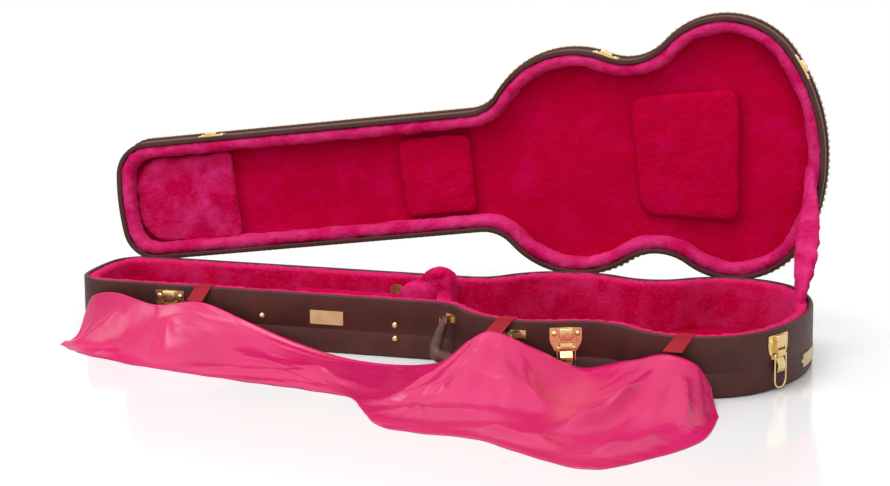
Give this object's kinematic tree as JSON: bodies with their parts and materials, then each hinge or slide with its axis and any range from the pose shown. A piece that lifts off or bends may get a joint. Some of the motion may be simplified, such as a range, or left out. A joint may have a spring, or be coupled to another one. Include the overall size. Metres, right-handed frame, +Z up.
{
  "type": "electric guitar case",
  "caption": "Shaped hardshell case for an electric guitar, lid open, with plush lining, draw latches, a handle, a neck cradle with a lidded compartment and a satin cover.",
  "frame": {"origin": "middle of the flat bottom's bounding rectangle, on the floor", "axes": "+Z up; +X along the hinge line from the head end to the tail end; +Y from the latch side to the hinge side, where the open lid stands"},
  "size_m": [1.0831, 0.8173, 0.4611],
  "materials": {
    "leatherette": "dark brown grained vinyl covering",
    "welt": "brown stitched edge binding",
    "plush": "magenta pink long-pile plush",
    "satin": "hot pink satin, loosely crumpled",
    "ribbon": "dark red grosgrain",
    "brass": "polished brass plate",
    "grip_leather": "dark brown moulded leather"
  },
  "bodies": {
    "base": {"base_bottom": "leatherette", "base_floor_lining": "plush", "base_side_lining": "plush", "base_wall": "leatherette", "compartment_partition": "plush", "end_plate": "brass", "handle_bracket_left": "brass", "handle_bracket_right": "brass", "head_latch_plate": "brass", "hinge_base_leaf_head": "brass", "hinge_base_leaf_tail": "brass", "hinge_base_leaf_waist": "brass", "hinge_pin_head": "brass", "hinge_pin_tail": "brass", "hinge_pin_waist": "brass", "lid_stay": "plush", "nameplate": "brass", "neck_cradle": "plush", "ribbon_body": "ribbon", "ribbon_head": "ribbon", "ribbon_waist": "ribbon", "shroud": "satin", "stud_compartment": "brass", "stud_cradle_lower": "brass", "stud_cradle_upper": "brass", "tail_latch_plate": "brass", "waist_latch_plate": "brass"},
    "lid": {"head_latch_catch": "brass", "hinge_lid_leaf_head": "brass", "hinge_lid_leaf_tail": "brass", "hinge_lid_leaf_waist": "brass", "lid_body_pad": "plush", "lid_headstock_pad": "plush", "lid_neck_pad": "plush", "lid_panel_lining": "plush", "lid_side_lining": "plush", "lid_top": "leatherette", "lid_wall": "leatherette", "lid_welt": "welt", "tail_latch_catch": "brass", "waist_latch_catch": "brass"},
    "handle": {"handle_grip": "grip_leather", "handle_pin_left": "brass", "handle_pin_right": "brass"},
    "compartment_lid": {"compartment_lid": "plush", "pull_tab": "brass"},
    "lock_plug": {"lock_plug": "brass"},
    "head_latch_lever": {"head_latch_lever": "brass"},
    "head_latch_bail": {"head_latch_bail": "brass"},
    "waist_latch_lever": {"waist_latch_lever": "brass"},
    "waist_latch_bail": {"waist_latch_bail": "brass"},
    "tail_latch_lever": {"tail_latch_lever": "brass"},
    "tail_latch_bail": {"tail_latch_bail": "brass"}
  },
  "joints": [
    {"name": "lid_hinge", "type": "hinge", "parent": "base", "child": "lid", "pos_m": [0, 0.19639, 0.072], "axis": [-1, 0, 0], "range_deg": [-93, 0], "deforming": ["lid_stay", "shroud", "ribbon_head", "ribbon_waist", "ribbon_body"]},
    {"name": "compartment_lid_hinge", "type": "hinge", "parent": "base", "child": "compartment_lid", "pos_m": [-0.23557, 0.07444, 0.05605], "axis": [-0.1169, -0.9931, 0], "range_deg": [0, 95]},
    {"name": "handle_swing", "type": "hinge", "parent": "base", "child": "handle", "pos_m": [0.08679, -0.11198, 0.066], "axis": [-0.8107, 0.5854, 0], "range_deg": [0, 100]},
    {"name": "lock_turn", "type": "hinge", "parent": "base", "child": "lock_plug", "pos_m": [0.21339, -0.1319, 0.0675], "axis": [0.3354, -0.9421, 0], "range_deg": [0, 90]},
    {"name": "head_latch_lever_turn", "type": "hinge", "parent": "base", "child": "head_latch_lever", "pos_m": [-0.38767, -0.00301, 0.0545], "axis": [-0.9931, 0.1169, 0], "range_deg": [0, 100]},
    {"name": "head_latch_bail_swing", "type": "hinge", "parent": "head_latch_lever", "child": "head_latch_bail", "pos_m": [-0.38767, -0.00301, 0.0497], "axis": [0.9931, -0.1169, 0], "range_deg": [-170, 0]},
    {"name": "waist_latch_lever_turn", "type": "hinge", "parent": "base", "child": "waist_latch_lever", "pos_m": [0.21497, -0.13633, 0.0545], "axis": [-0.9421, -0.3354, 0], "range_deg": [0, 100]},
    {"name": "waist_latch_bail_swing", "type": "hinge", "parent": "waist_latch_lever", "child": "waist_latch_bail", "pos_m": [0.21497, -0.13633, 0.0497], "axis": [0.9421, 0.3354, 0], "range_deg": [-170, 0]},
    {"name": "tail_latch_lever_turn", "type": "hinge", "parent": "base", "child": "tail_latch_lever", "pos_m": [0.50316, -0.12354, 0.0545], "axis": [-0.5024, -0.8646, 0], "range_deg": [0, 100]},
    {"name": "tail_latch_bail_swing", "type": "hinge", "parent": "tail_latch_lever", "child": "tail_latch_bail", "pos_m": [0.50316, -0.12354, 0.0497], "axis": [0.5024, 0.8646, 0], "range_deg": [-170, 0]}
  ]
}
